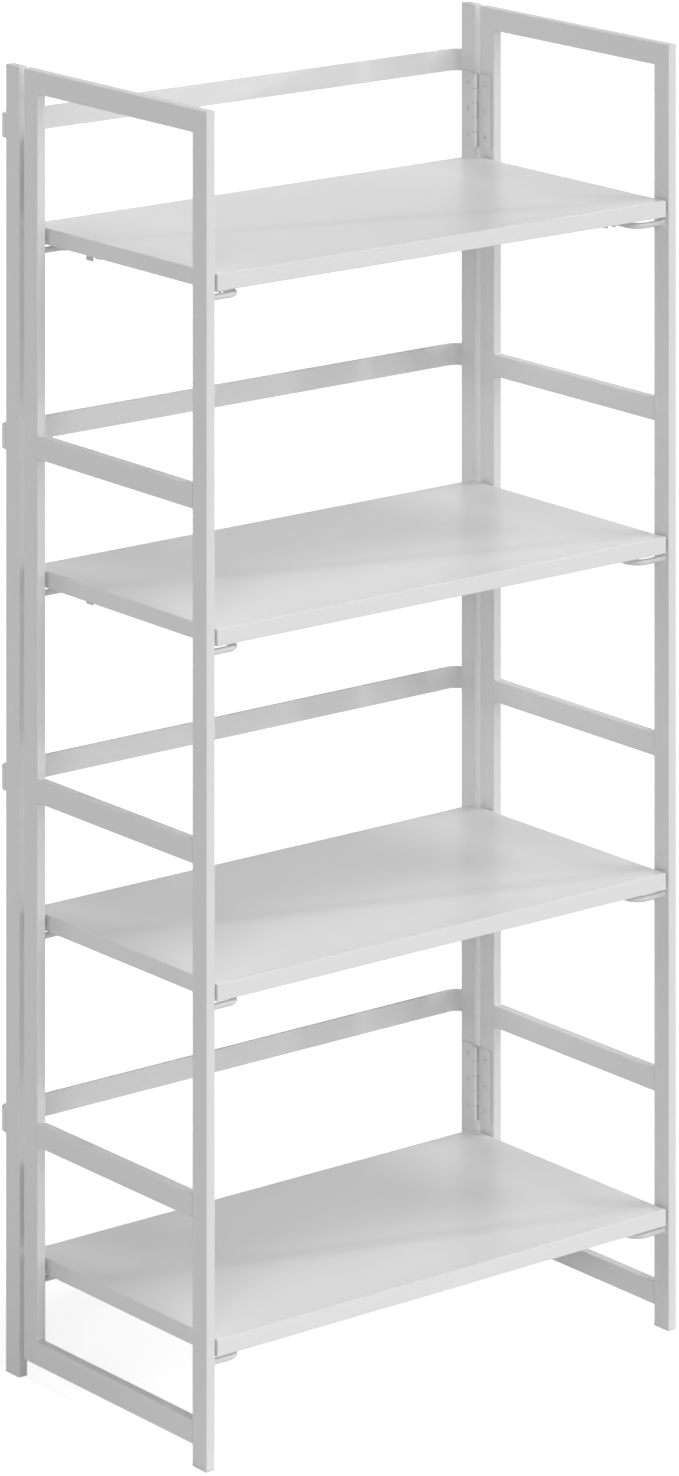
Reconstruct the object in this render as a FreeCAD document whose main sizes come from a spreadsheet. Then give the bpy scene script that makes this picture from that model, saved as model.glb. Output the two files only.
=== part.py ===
import FreeCAD, Part
import os

import Sketcher

# A free-standing bookcase of four loose shelves. Two side frames of mitred rectangular tube are
# hinged to a back frame of two uprights joined by four bent flat bars. Each shelf sits on two bent
# rods, one on each side frame, and four saddle clips under it straddle the rods.
#
# Millimetres. X runs to the right, Y to the back and Z up. The origin is on the floor, half way
# across the width and half way between the front of the posts and the back of the flat bars.

SIZES = (
    ("frame_width", 570.0, "over the outer faces of the side frames"),
    ("frame_depth", 337.3, "front of the posts to the back of the flat bars"),
    ("frame_height", 1250.0, "floor to the top rails"),
    ("tube_depth", 22.0, "wide side of the rectangular tube"),
    ("tube_thickness", 10.0, "narrow side of the tube"),
    ("tube_wall", 1.0, "wall of the tube"),
    ("tube_corner", 1.0, "outside corner radius of the tube"),
    ("hinge_gap", 8.0, "between the side frame and the upright"),
    ("bottom_rail_height", 20.3, "floor to the underside of the bottom rail"),
    ("rail_rise", 124.8, "underside of a shelf to the underside of the rails above it"),
    ("lowest_shelf", 103.3, "floor to the underside of the lowest shelf"),
    ("top_space", 166.9, "underside of the top shelf to the top of the frame"),
    ("shelf_thickness", 16.0, "board"),
    ("shelf_end_gap", 3.0, "board to the inner face of the side frame, each end"),
    ("shelf_edge_gap", 0.3, "board to the front plane, and to the upright behind it"),
    ("shelf_edge", 0.6, "rounding of the banded edges"),
    ("rod_diameter", 6.0, "round rod that carries a shelf"),
    ("rod_reach", 35.0, "inner face of the side frame to the axis of the rod"),
    ("rod_bend", 13.0, "bend radius on the axis of the rod"),
    ("rod_front_overlap", 13.0, "rod axis to the back edge of the front post"),
    ("rod_back_overlap", 11.0, "rod axis to the front edge of the rear post"),
    ("rod_play", 0.3, "rod to the seat of a clip above it"),
    ("clip_seat", 3.5, "thickness of a clip between the board and the rod"),
    ("clip_play", 1.4, "rod to each leg of a clip"),
    ("clip_leg", 1.1, "thickness of a leg"),
    ("clip_skirt", 3.7, "underside of the rod to the end of a leg"),
    ("clip_length", 10.5, "along the rod"),
    ("clip_lead", 0.35, "bevel on both sides of the end of a leg"),
    ("clip_inset", 41.0, "rod end to the middle of a clip, front and back"),
    ("clip_screw_head", 5.6, "head diameter"),
    ("clip_screw_shank", 2.8, "shank diameter"),
    ("clip_screw_head_depth", 1.4, "depth of the countersink"),
    ("clip_screw_length", 13.0, "seat of the clip to the point of the screw"),
    ("bar_height", 22.0, "flat bar across the back"),
    ("bar_thickness", 3.0, "flat bar"),
    ("bar_bend", 12.0, "inside radius of the bend at each end"),
    ("bar_land", 1.7, "straight end of the bar between the upright and the bend"),
    ("bar_edge", 0.4, "rounding of the long edges of the bar"),
    ("top_bar_drop", 49.0, "top of the frame to the top edge of the highest bar"),
    ("plug_head", 3.0, "part of a tube plug outside the tube"),
    ("plug_stem", 14.0, "part of a tube plug inside the tube"),
    ("plug_edge", 0.9, "rounding of the exposed face of a plug"),
    ("plug_play", 0.1, "between the stem and the tube, each side"),
    ("hinge_height", 74.0, "butt hinge"),
    ("leaf_width", 22.0, "pin axis to the free edge of a leaf"),
    ("leaf_thickness", 1.4, "plate"),
    ("leaf_relief", 0.5, "edge of a leaf to the other leaf's knuckles"),
    ("knuckle_gap", 0.3, "between neighbouring knuckles"),
    ("pin_diameter", 3.0, "hinge pin"),
    ("pin_play", 0.05, "between the pin and a knuckle, radially"),
    ("pin_head", 1.0, "length of the head at each end of a pin"),
    ("upper_hinge_rise", 9.0, "top of the highest shelf to the hinge above it"),
    ("lower_hinge_rise", 10.0, "top of the lowest shelf to the hinge above it"),
    ("screw_inset", 13.3, "pin axis to the screws of a leaf"),
    ("screw_pitch", 26.2, "between the three screws of a leaf"),
    ("screw_head", 7.0, "head diameter of a hinge screw"),
    ("screw_head_depth", 1.1, "depth of the countersink"),
    ("screw_shank", 3.2, "shank diameter of a hinge screw"),
    ("screw_length", 6.5, "leaf face to the point of the screw"),
    ("screw_play", 0.1, "between a screw and its hole, radially"),
    ("recess_length", 3.6, "cross recess in a screw head"),
    ("recess_width", 0.8, "cross recess in a screw head"),
    ("recess_depth", 0.7, "cross recess in a screw head"),
)

SHELVES = 4
SIDES = (("left", -1), ("right", 1))
KNUCKLES = 5
LEAF_SCREWS = 3
PARTS = "parts"
DRAFT_RADIUS = 10.0
FLUSH = 1e-6

# Places on the bookcase, worked out from the sizes.
FRONT = "(-Sizes.frame_depth / 2)"
BAR_STANDOFF = "(Sizes.bar_land + Sizes.bar_bend + Sizes.bar_thickness)"
UPRIGHT_BACK = f"(Sizes.frame_depth / 2 - {BAR_STANDOFF})"
UPRIGHT_FRONT = f"({UPRIGHT_BACK} - Sizes.tube_depth)"
SIDE_BACK = f"({UPRIGHT_FRONT} - Sizes.hinge_gap)"
SIDE_DEPTH = f"({SIDE_BACK} - {FRONT})"
INNER_X = "(Sizes.frame_width / 2 - Sizes.tube_thickness)"
TUBE_X = "(Sizes.frame_width / 2 - Sizes.tube_thickness / 2)"
KNUCKLE_RADIUS = "(Sizes.pin_diameter / 2 + Sizes.pin_play + Sizes.leaf_thickness)"
PIN_X = f"({INNER_X} - {KNUCKLE_RADIUS})"
PIN_Y = f"({SIDE_BACK} + Sizes.hinge_gap / 2)"
ROD_X = f"({INNER_X} - Sizes.rod_reach)"
ROD_FRONT = f"({FRONT} + Sizes.tube_depth - Sizes.rod_front_overlap)"
ROD_BACK = f"({SIDE_BACK} - Sizes.tube_depth + Sizes.rod_back_overlap)"
ROD_RUN = f"({ROD_BACK} - {ROD_FRONT} - 2 * Sizes.rod_bend)"
CLIP_FRONT = f"({ROD_FRONT} + Sizes.clip_inset)"
CLIP_BACK = f"({ROD_BACK} - Sizes.clip_inset)"
CLIP_PITCH = f"({CLIP_BACK} - {CLIP_FRONT})"
ROD_DROP = "(Sizes.clip_seat + Sizes.rod_play + Sizes.rod_diameter / 2)"
SHELF_FRONT = f"({FRONT} + Sizes.shelf_edge_gap)"
SHELF_BACK = f"({UPRIGHT_FRONT} - Sizes.shelf_edge_gap)"
SHELF_END = f"({INNER_X} - Sizes.shelf_end_gap)"
KNUCKLE_PITCH = f"(Sizes.hinge_height / {KNUCKLES})"
LEAF_SCREW_SPAN = f"({LEAF_SCREWS - 1} * Sizes.screw_pitch)"
HALF_DEPTH = "(Sizes.tube_depth / 2)"


def shelf_bottom(number):
    """Height of the underside of a shelf, counted from 1 at the bottom."""
    pitch = f"((Sizes.frame_height - Sizes.top_space - Sizes.lowest_shelf) / {SHELVES - 1})"
    return f"(Sizes.lowest_shelf + {number - 1} * {pitch})"


def rail_bottom(number):
    """Height of the underside of the rails above a shelf."""
    return f"({shelf_bottom(number)} + Sizes.rail_rise)"


def hinge_centre(number, rise):
    """Height of the middle of the hinge above a shelf."""
    return f"({shelf_bottom(number)} + Sizes.shelf_thickness + {rise} + Sizes.hinge_height / 2)"


LOWER_HINGE = hinge_centre(1, "Sizes.lower_hinge_rise")
UPPER_HINGE = hinge_centre(SHELVES, "Sizes.upper_hinge_rise")
HINGES = (("lower", LOWER_HINGE), ("upper", UPPER_HINGE))
HINGE_PITCH = f"({UPPER_HINGE} - {LOWER_HINGE})"

doc = FreeCAD.newDocument("folding_bookcase")
nodes = []


def make_sheet():
    """Write the sizes into a spreadsheet, one alias a row."""
    sheet = doc.addObject("Spreadsheet::Sheet", "Sizes")
    for row, (alias, value, meaning) in enumerate(SIZES, start=1):
        sheet.set(f"A{row}", alias)
        sheet.set(f"B{row}", str(value))
        sheet.set(f"C{row}", meaning)
        sheet.setAlias(f"B{row}", alias)
    doc.recompute()


def place(thing, x="0", y="0", z="0", turn=None):
    """Bind an object's place to the sheet. turn is an axis and an angle in degrees."""
    if turn:
        axis, angle = turn
        thing.Placement = FreeCAD.Placement(FreeCAD.Vector(), FreeCAD.Rotation(FreeCAD.Vector(*axis), angle))
    for axis, expression in zip("xyz", (x, y, z)):
        thing.setExpression(f"Placement.Base.{axis}", expression)


def bind(thing, **sizes):
    """Bind properties of an object to expressions."""
    for name, expression in sizes.items():
        thing.setExpression(name, expression)


# Sketches and PartDesign features

def make_body(label):
    """A body that is one sub-part of the bookcase."""
    body = doc.addObject("PartDesign::Body", label)
    body.Label = label
    nodes.append(body)
    return body


def datum(body, role):
    """One of a body's own origin planes or axes."""
    return next(thing for thing in body.Origin.OriginFeatures if thing.Role == role)


def make_sketch(body, name, plane, **offset):
    """A sketch on a body's origin plane. offset gives x, y or z in the sketch's own axes."""
    sketch = body.newObject("Sketcher::SketchObject", name)
    sketch.AttachmentSupport = [(datum(body, plane), "")]
    sketch.MapMode = "FlatFace"
    for axis, expression in offset.items():
        sketch.setExpression(f"AttachmentOffset.Base.{axis}", expression)
    return sketch


def pin_point(sketch, geometry, point, x, y):
    """Hold a point of the sketch at two expressions, measured from the sketch's origin."""
    for kind, expression in (("DistanceX", x), ("DistanceY", y)):
        index = sketch.addConstraint(Sketcher.Constraint(kind, -1, 1, geometry, point, DRAFT_RADIUS))
        sketch.setExpression(f"Constraints[{index}]", expression)


def draw_polygon(sketch, corners):
    """A closed outline through corners given as pairs of expressions."""
    count = len(corners)
    first = sketch.GeometryCount
    spoke, upward = FreeCAD.Vector(DRAFT_RADIUS, 0, 0), FreeCAD.Vector(0, 0, 1)
    draft = [FreeCAD.Rotation(upward, 360 * number / count).multVec(spoke) for number in range(count)]
    for number in range(count):
        sketch.addGeometry(Part.LineSegment(draft[number], draft[(number + 1) % count]), False)
    for number in range(count):
        following = first + (number + 1) % count
        sketch.addConstraint(Sketcher.Constraint("Coincident", first + number, 2, following, 1))
    for number, (x, y) in enumerate(corners):
        pin_point(sketch, first + number, 1, x, y)


def draw_rectangle(sketch, low, high):
    """A rectangle between two corners."""
    draw_polygon(sketch, (low, (high[0], low[1]), high, (low[0], high[1])))


def draw_circle(sketch, x, y, diameter):
    """A circle held by its centre and diameter."""
    centre = FreeCAD.Vector(DRAFT_RADIUS, DRAFT_RADIUS, 0)
    circle = sketch.addGeometry(Part.Circle(centre, FreeCAD.Vector(0, 0, 1), DRAFT_RADIUS), False)
    pin_point(sketch, circle, 3, x, y)
    index = sketch.addConstraint(Sketcher.Constraint("Diameter", circle, 2 * DRAFT_RADIUS))
    sketch.setExpression(f"Constraints[{index}]", diameter)


def pad(body, sketch, length, both_ways=False):
    """Extrude a sketch along its normal."""
    feature = body.newObject("PartDesign::Pad", sketch.Name + "_pad")
    feature.Profile = sketch
    feature.Midplane = both_ways
    bind(feature, Length=length)
    return feature


def pocket(body, sketch, depth=None, backwards=False):
    """Cut a sketch out of the body: to a depth against its normal, or right through both ways."""
    feature = body.newObject("PartDesign::Pocket", sketch.Name + "_cut")
    feature.Profile = sketch
    feature.Reversed = backwards
    if depth:
        bind(feature, Length=depth)
    else:
        feature.Midplane = True
        feature.Type = "ThroughAll"
    return feature


def turn_profile(body, sketch, kind, axis="H_Axis"):
    """Revolve a profile about one of the sketch's own axes, adding or cutting."""
    feature = body.newObject(kind, sketch.Name + "_turn")
    feature.Profile = sketch
    feature.ReferenceAxis = (sketch, [axis])
    feature.Angle = 360
    return feature


def round_edges(body, base, radius, chosen):
    """Fillet the edges of a feature that the test picks out."""
    doc.recompute()
    names = [f"Edge{index}" for index, edge in enumerate(base.Shape.Edges, start=1) if chosen(edge)]
    feature = body.newObject("PartDesign::Fillet", base.Name + "_round")
    feature.Base = (base, names)
    bind(feature, Radius=radius)
    return feature


def row_of(body, name, axis, length, count, features=None):
    """Repeat the whole body, or some of its features, evenly along one of its axes."""
    doc.recompute()
    pattern = body.newObject("PartDesign::LinearPattern", f"{body.Name}_{name}")
    if features:
        pattern.Originals = features
    else:
        pattern.TransformMode = "Whole shape"
    pattern.Direction = (datum(body, axis), [""])
    pattern.Occurrences = count
    bind(pattern, Length=length)
    body.Tip = pattern


def mirror(body):
    """Repeat the whole body across the middle of the bookcase."""
    doc.recompute()
    feature = body.newObject("PartDesign::Mirrored", body.Name + "_mirror")
    feature.TransformMode = "Whole shape"
    feature.MirrorPlane = (datum(body, "YZ_Plane"), [""])
    body.Tip = feature


def runs_along(axis):
    """Test for straight edges along an axis."""
    direction = FreeCAD.Vector(*axis)

    def test(edge):
        if edge.Curve.TypeId != "Part::GeomLine":
            return False
        return abs(edge.tangentAt(edge.FirstParameter).dot(direction)) > 1 - FLUSH

    return test


# Tubes, bars and plugs

def make_tube(label, upright, length, mitres=(), x=TUBE_X, y="0", z="0"):
    """A rectangular tube: upright, or running forward from its back end.

    mitres are the corners cut off its ends, each as three points in the tube's own Y and Z.
    """
    body = make_body(label)
    plane, axis = ("XY_Plane", (0, 0, 1)) if upright else ("XZ_Plane", (0, 1, 0))
    section = make_sketch(body, label + "_section", plane)
    half_x, half_y = "Sizes.tube_thickness / 2", HALF_DEPTH
    draw_rectangle(section, (f"-{half_x}", f"-{half_y}"), (half_x, half_y))
    bar = pad(body, section, length)
    bar = round_edges(body, bar, "Sizes.tube_corner", runs_along(axis))
    bore = make_sketch(body, label + "_bore", plane)
    inner_x, inner_y = f"({half_x} - Sizes.tube_wall)", f"({half_y} - Sizes.tube_wall)"
    draw_rectangle(bore, (f"-{inner_x}", f"-{inner_y}"), (inner_x, inner_y))
    pocket(body, bore)
    for number, corners in enumerate(mitres, start=1):
        cut = make_sketch(body, f"{label}_mitre_{number}", "YZ_Plane")
        draw_polygon(cut, corners)
        pocket(body, cut)
    place(body, x, y, z)
    return body


def drill_for_leaves(body, side, y, base_height):
    """Holes for the hinge screws through the inner wall of a tube."""
    holes = make_sketch(body, body.Name + "_screw_holes", "YZ_Plane")
    for _, centre in HINGES:
        for number in range(LEAF_SCREWS):
            height = f"{centre} - {LEAF_SCREW_SPAN} / 2 + {number} * Sizes.screw_pitch - {base_height}"
            draw_circle(holes, y, height, "Sizes.screw_shank + 2 * Sizes.screw_play")
    pocket(body, holes, depth="Sizes.tube_thickness / 2 + Sizes.tube_wall", backwards=side < 0)


def make_plug(label, x, y, z, capping=False):
    """A plastic plug in the end of an upright tube: a foot, or a cap when it is turned over."""
    body = make_body(label)
    half_x, half_y = "Sizes.tube_thickness / 2", HALF_DEPTH
    outline = make_sketch(body, label + "_head", "XY_Plane")
    draw_rectangle(outline, (f"-{half_x}", f"-{half_y}"), (half_x, half_y))
    head = pad(body, outline, "Sizes.plug_head")
    head = round_edges(body, head, "Sizes.tube_corner", runs_along((0, 0, 1)))
    round_edges(body, head, "Sizes.plug_edge", lambda edge: edge.BoundBox.ZMax < FLUSH)
    core = make_sketch(body, label + "_stem", "XY_Plane", z="Sizes.plug_head")
    less = "Sizes.tube_wall - Sizes.plug_play"
    inner_x, inner_y = f"({half_x} - {less})", f"({half_y} - {less})"
    draw_rectangle(core, (f"-{inner_x}", f"-{inner_y}"), (inner_x, inner_y))
    pad(body, core, "Sizes.plug_stem")
    place(body, x, y, z, turn=((0, 1, 0), 180) if capping else None)


def make_back_bar(label, z):
    """A flat bar behind the uprights, its ends bent forward and welded to their back faces."""
    body = make_body(label)
    outline = make_sketch(body, label + "_outline", "XY_Plane")
    end, inner_end = "Sizes.frame_width / 2", "(Sizes.frame_width / 2 - Sizes.bar_thickness)"
    back, inside = "Sizes.frame_depth / 2", "Sizes.frame_depth / 2 - Sizes.bar_thickness"
    right_half = ((end, back), (end, UPRIGHT_BACK), (inner_end, UPRIGHT_BACK), (inner_end, inside))
    left_half = tuple((f"-{x}", y) for x, y in reversed(right_half))
    draw_polygon(outline, right_half + left_half)
    bar = pad(body, outline, "Sizes.bar_height")
    doc.recompute()
    box = bar.Shape.BoundBox
    upright = runs_along((0, 0, 1))

    def stands_inside(edge):
        return box.YMin < edge.BoundBox.YMin and edge.BoundBox.YMax < box.YMax

    def lies_on_weld(edge):
        return edge.BoundBox.YMax < box.YMin + FLUSH

    bar = round_edges(body, bar, "Sizes.bar_bend", lambda edge: upright(edge) and stands_inside(edge))
    bar = round_edges(body, bar, "Sizes.bar_bend + Sizes.bar_thickness",
                      lambda edge: upright(edge) and edge.BoundBox.YMin > box.YMax - FLUSH)
    round_edges(body, bar, "Sizes.bar_edge", lambda edge: not upright(edge) and not lies_on_weld(edge))
    place(body, z=z)


# The side frames

def make_side_frame(side_name, side):
    """Seven tubes, one foot and the rods of one side frame."""
    deep, half = "Sizes.tube_depth", HALF_DEPTH
    x = f"{side} * {TUBE_X}"

    length = "(Sizes.frame_height - Sizes.plug_head)"
    make_tube(f"{side_name}_front_post", True, length, x=x, y=f"{FRONT} + {half}",
              z="Sizes.plug_head", mitres=(
        ((f"-{half}", length), (half, length), (half, f"{length} - {deep}")),
    ))
    length = "(Sizes.frame_height - Sizes.bottom_rail_height)"
    post = make_tube(f"{side_name}_rear_post", True, length, x=x, y=f"{SIDE_BACK} - {half}",
                     z="Sizes.bottom_rail_height", mitres=(
        ((half, length), (f"-{half}", length), (f"-{half}", f"{length} - {deep}")),
        ((half, "0"), (f"-{half}", "0"), (f"-{half}", deep)),
    ))
    drill_for_leaves(post, side, f"{PIN_Y} - Sizes.screw_inset - ({SIDE_BACK} - {half})",
                     "Sizes.bottom_rail_height")
    make_tube(f"{side_name}_top_rail", False, SIDE_DEPTH, x=x, y=SIDE_BACK,
              z=f"Sizes.frame_height - {half}", mitres=(
        (("0", half), ("0", f"-{half}"), (f"-{deep}", f"-{half}")),
        ((f"-{SIDE_DEPTH}", half), (f"-{SIDE_DEPTH}", f"-{half}"), (f"{deep} - {SIDE_DEPTH}", f"-{half}")),
    ))
    make_tube(f"{side_name}_bottom_rail", False, f"{SIDE_DEPTH} - {deep}", x=x, y=SIDE_BACK,
              z=f"Sizes.bottom_rail_height + {half}", mitres=(
        (("0", f"-{half}"), ("0", half), (f"-{deep}", half)),
    ))
    for number in range(1, SHELVES):
        make_tube(f"{side_name}_side_rail_{number}", False, f"{SIDE_DEPTH} - 2 * {deep}", x=x,
                  y=f"{SIDE_BACK} - {deep}", z=f"{rail_bottom(number)} + {half}")
    make_plug(f"{side_name}_front_foot", x, f"{FRONT} + {half}", "0")
    for number in range(1, SHELVES + 1):
        make_rod(f"{side_name}_rod_{number}", side, shelf_bottom(number))


def make_rod(label, side, shelf):
    """A round rod bent to a flat U, its ends butted to the inner faces of the two posts."""
    height = f"{shelf} - {ROD_DROP}"
    turn_x = f"{side} * ({ROD_X} + Sizes.rod_bend)"
    pieces = []

    def round_bar(name, length, x, y, turn):
        piece = doc.addObject("Part::Cylinder", f"{label}_{name}")
        bind(piece, Radius="Sizes.rod_diameter / 2", Height=length)
        place(piece, x, y, height, turn)
        pieces.append(piece)

    def quarter_bend(name, y, start):
        piece = doc.addObject("Part::Torus", f"{label}_{name}")
        piece.Angle3 = 90
        bind(piece, Radius1="Sizes.rod_bend", Radius2="Sizes.rod_diameter / 2")
        place(piece, turn_x, y, height, ((0, 0, 1), start))
        pieces.append(piece)

    inward = ((0, 1, 0), -90 * side)
    for end, y in (("front", ROD_FRONT), ("back", ROD_BACK)):
        round_bar(f"{end}_end", "Sizes.rod_reach - Sizes.rod_bend", f"{side} * {INNER_X}", y, inward)
    quarter_bend("front_bend", f"{ROD_FRONT} + Sizes.rod_bend", 180 if side > 0 else 270)
    quarter_bend("back_bend", f"{ROD_BACK} - Sizes.rod_bend", 90 if side > 0 else 0)
    round_bar("run", ROD_RUN, f"{side} * {ROD_X}", f"{ROD_FRONT} + Sizes.rod_bend", ((1, 0, 0), -90))

    rod = doc.addObject("Part::MultiFuse", label)
    rod.Label = label
    rod.Shapes = pieces
    nodes.append(rod)


# The hinges

def make_leaf(label, knuckle_count, turn, x, z):
    """One leaf of a butt hinge. Its origin is on the pin, half way up; its tube is towards +X."""
    body = make_body(label)
    radius, thick = KNUCKLE_RADIUS, "Sizes.leaf_thickness"
    face = f"({radius} - {thick})"
    knuckle_height = f"({KNUCKLE_PITCH} - Sizes.knuckle_gap)"
    first = f"-{knuckle_count - 1} * {KNUCKLE_PITCH} - {knuckle_height} / 2"

    barrel = make_sketch(body, label + "_barrel", "XY_Plane", z=first)
    draw_circle(barrel, "0", "0", f"2 * {radius}")
    web = make_sketch(body, label + "_web", "XY_Plane", z=first)
    draw_rectangle(web, (face, "0"), (radius, f"{radius} + Sizes.leaf_relief + {thick}"))
    for outline in (barrel, web):
        pad(body, outline, knuckle_height)
    row_of(body, "knuckles", "Z_Axis", f"{2 * (knuckle_count - 1)} * {KNUCKLE_PITCH}", knuckle_count)

    plate = make_sketch(body, label + "_plate", "XY_Plane")
    draw_rectangle(plate, (face, f"{radius} + Sizes.leaf_relief"), (radius, "Sizes.leaf_width"))
    pad(body, plate, "Sizes.hinge_height", both_ways=True)
    bore = make_sketch(body, label + "_bore", "XY_Plane")
    draw_circle(bore, "0", "0", "Sizes.pin_diameter + 2 * Sizes.pin_play")
    pocket(body, bore)

    sink = make_sketch(body, label + "_sink", "XY_Plane", y="Sizes.screw_inset", z=f"-{LEAF_SCREW_SPAN} / 2")
    shank = "(Sizes.screw_shank / 2 + Sizes.screw_play)"
    draw_polygon(sink, (
        (face, "0"),
        (face, "Sizes.screw_head / 2 + Sizes.screw_play"),
        (f"{face} + Sizes.screw_head_depth", shank),
        (radius, shank),
        (radius, "0"),
    ))
    hole = turn_profile(body, sink, "PartDesign::Groove")
    row_of(body, "holes", "Z_Axis", LEAF_SCREW_SPAN, LEAF_SCREWS, features=[hole])
    place(body, x, PIN_Y, z, turn)


def make_screw(body, kind, face, upright, profile_at, recess_at):
    """A countersunk screw with a cross recess, its point towards +Z if upright and +X if not.

    kind is the prefix of its sizes and face the height of its head along its axis.
    """
    half_head, half_shank = f"Sizes.{kind}_head / 2", f"Sizes.{kind}_shank / 2"
    tip = f"{face} + Sizes.{kind}_length"
    outline = (
        (face, "0"),
        (face, half_head),
        (f"{face} + Sizes.{kind}_head_depth", half_shank),
        (f"{tip} - {half_shank}", half_shank),
        (tip, "0"),
    )
    profile_plane, recess_plane, axis = ("XY_Plane", "YZ_Plane", "H_Axis")
    if upright:
        profile_plane, recess_plane, axis = ("YZ_Plane", "XY_Plane", "V_Axis")
        outline = tuple((radius, along) for along, radius in reversed(outline))
    profile = make_sketch(body, body.Name + "_profile", profile_plane, **profile_at)
    draw_polygon(profile, outline)
    turn_profile(body, profile, "PartDesign::Revolution", axis=axis)
    long, narrow = "Sizes.recess_length / 2", "Sizes.recess_width / 2"
    for name, (half_u, half_v) in (("long", (long, narrow)), ("cross", (narrow, long))):
        slot = make_sketch(body, f"{body.Name}_{name}_slot", recess_plane, **recess_at)
        draw_rectangle(slot, (f"-{half_u}", f"-{half_v}"), (half_u, half_v))
        pocket(body, slot, depth="Sizes.recess_depth", backwards=True)


def make_hinge_screws(label, toward_back, turn=None, z="0"):
    """The screws of the side leaves of one side, or of all the back leaves."""
    body = make_body(label)
    y = f"({PIN_Y} + {1 if toward_back else -1} * Sizes.screw_inset)"
    lowest = f"({LOWER_HINGE} - {LEAF_SCREW_SPAN} / 2)"
    face = f"({INNER_X} - Sizes.leaf_thickness)"
    make_screw(body, "screw", face, False, dict(y=y, z=lowest), dict(x=y, y=lowest, z=face))
    row_of(body, "leaf", "Z_Axis", LEAF_SCREW_SPAN, LEAF_SCREWS)
    row_of(body, "hinges", "Z_Axis", HINGE_PITCH, len(HINGES))
    if toward_back:
        mirror(body)
    place(body, z=z, turn=turn)


def make_pins(label, x):
    """The two pins of one side, each with a small round head at both ends."""
    body = make_body(label)
    half, radius = "Sizes.hinge_height / 2", "Sizes.pin_diameter / 2"
    head, cap = "Sizes.pin_head / 2", "Sizes.pin_head"
    outline = [
        ("0", f"-{half} - {cap}"),
        (radius, f"-{half} - {cap}"),
        (f"{radius} + {head}", f"-{half} - {head}"),
        (f"{radius} + {head}", f"-{half}"),
        (radius, f"-{half}"),
        (radius, half),
        (f"{radius} + {head}", half),
        (f"{radius} + {head}", f"{half} + {head}"),
        (radius, f"{half} + {cap}"),
        ("0", f"{half} + {cap}"),
    ]
    profile = make_sketch(body, label + "_profile", "XZ_Plane")
    draw_polygon(profile, outline)
    turn_profile(body, profile, "PartDesign::Revolution", axis="V_Axis")
    row_of(body, "pair", "Z_Axis", HINGE_PITCH, len(HINGES))
    place(body, x, PIN_Y, LOWER_HINGE)


def make_hinges():
    """Two butt hinges a side, with the screws that hold their leaves to the tubes."""
    side_knuckles = (KNUCKLES + 1) // 2
    back_knuckles = KNUCKLES - side_knuckles
    turns = {
        ("right", "side"): ((1, 0, 0), 180), ("right", "back"): None,
        ("left", "side"): ((0, 0, 1), 180), ("left", "back"): ((0, 1, 0), 180),
    }
    for side_name, side in SIDES:
        x = f"{side} * {PIN_X}"
        for hinge, centre in HINGES:
            for leaf, knuckles in (("side", side_knuckles), ("back", back_knuckles)):
                make_leaf(f"{side_name}_{hinge}_{leaf}_leaf", knuckles, turns[side_name, leaf], x, centre)
        make_pins(f"{side_name}_hinge_pins", x)
    make_hinge_screws("right_side_screws", toward_back=False)
    make_hinge_screws("left_side_screws", toward_back=False, turn=((0, 1, 0), 180),
                      z=f"{LOWER_HINGE} + {UPPER_HINGE}")
    make_hinge_screws("back_screws", toward_back=True)


# The back frame

def make_back_frame():
    """Two uprights with a plug in each end, and the flat bars between them."""
    for side_name, side in SIDES:
        x = f"{side} * {TUBE_X}"
        y = f"{UPRIGHT_BACK} - {HALF_DEPTH}"
        upright = make_tube(f"{side_name}_upright", True, "Sizes.frame_height - 2 * Sizes.plug_head",
                            x=x, y=y, z="Sizes.plug_head")
        drill_for_leaves(upright, side, f"{PIN_Y} + Sizes.screw_inset - ({y})", "Sizes.plug_head")
        make_plug(f"{side_name}_back_foot", x, y, "0")
        make_plug(f"{side_name}_top_cap", x, y, "Sizes.frame_height", capping=True)
    for number in range(1, SHELVES):
        make_back_bar(f"back_bar_{number}", rail_bottom(number))
    make_back_bar(f"back_bar_{SHELVES}", "Sizes.frame_height - Sizes.top_bar_drop - Sizes.bar_height")


# The shelves

def make_board(name, bottom):
    """A banded board with blind holes for the screws of its clips."""
    board = make_body(name + "_board")
    outline = make_sketch(board, name + "_outline", "XY_Plane")
    draw_rectangle(outline, (f"-{SHELF_END}", SHELF_FRONT), (SHELF_END, SHELF_BACK))
    slab = pad(board, outline, "Sizes.shelf_thickness")
    round_edges(board, slab, "Sizes.shelf_edge", lambda edge: True)
    holes = make_sketch(board, name + "_screw_holes", "XY_Plane")
    for _, side in SIDES:
        for y in (CLIP_FRONT, CLIP_BACK):
            draw_circle(holes, f"{side} * {ROD_X}", y, "Sizes.clip_screw_shank + 2 * Sizes.screw_play")
    pocket(board, holes, depth="Sizes.clip_screw_length - Sizes.clip_seat + Sizes.clip_screw_shank",
           backwards=True)
    place(board, z=bottom)


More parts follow.
